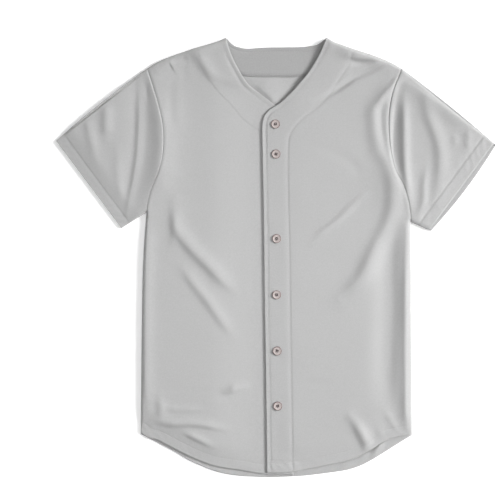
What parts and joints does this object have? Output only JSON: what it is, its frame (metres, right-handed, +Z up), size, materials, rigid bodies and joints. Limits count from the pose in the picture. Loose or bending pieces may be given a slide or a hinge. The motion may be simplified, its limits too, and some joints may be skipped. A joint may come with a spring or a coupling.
{
  "type": "baseball top",
  "caption": "Short-sleeved collarless button-front baseball top in plain knit, laid flat on its back with a curved shirt-tail hem.",
  "frame": {"origin": "under the middle of the garment's outline, on the surface that it lies on", "axes": "+Z up from the surface, +Y from the hem to the neck, +X towards the wearer's left sleeve"},
  "size_m": [0.792, 0.7903, 0.0126],
  "materials": {
    "knit": "fine knit with a soft sheen",
    "button": "polished pearl look",
    "thread": "spun sewing thread"
  },
  "bodies": {
    "root": {"back": "knit", "back_neck_facing": "knit", "front_right": "knit", "front_left": "knit", "sleeve_right": "knit", "sleeve_left": "knit", "button_1": "button", "button_2": "button", "button_3": "button", "button_4": "button", "button_5": "button", "button_6": "button"}
  },
  "joints": []
}
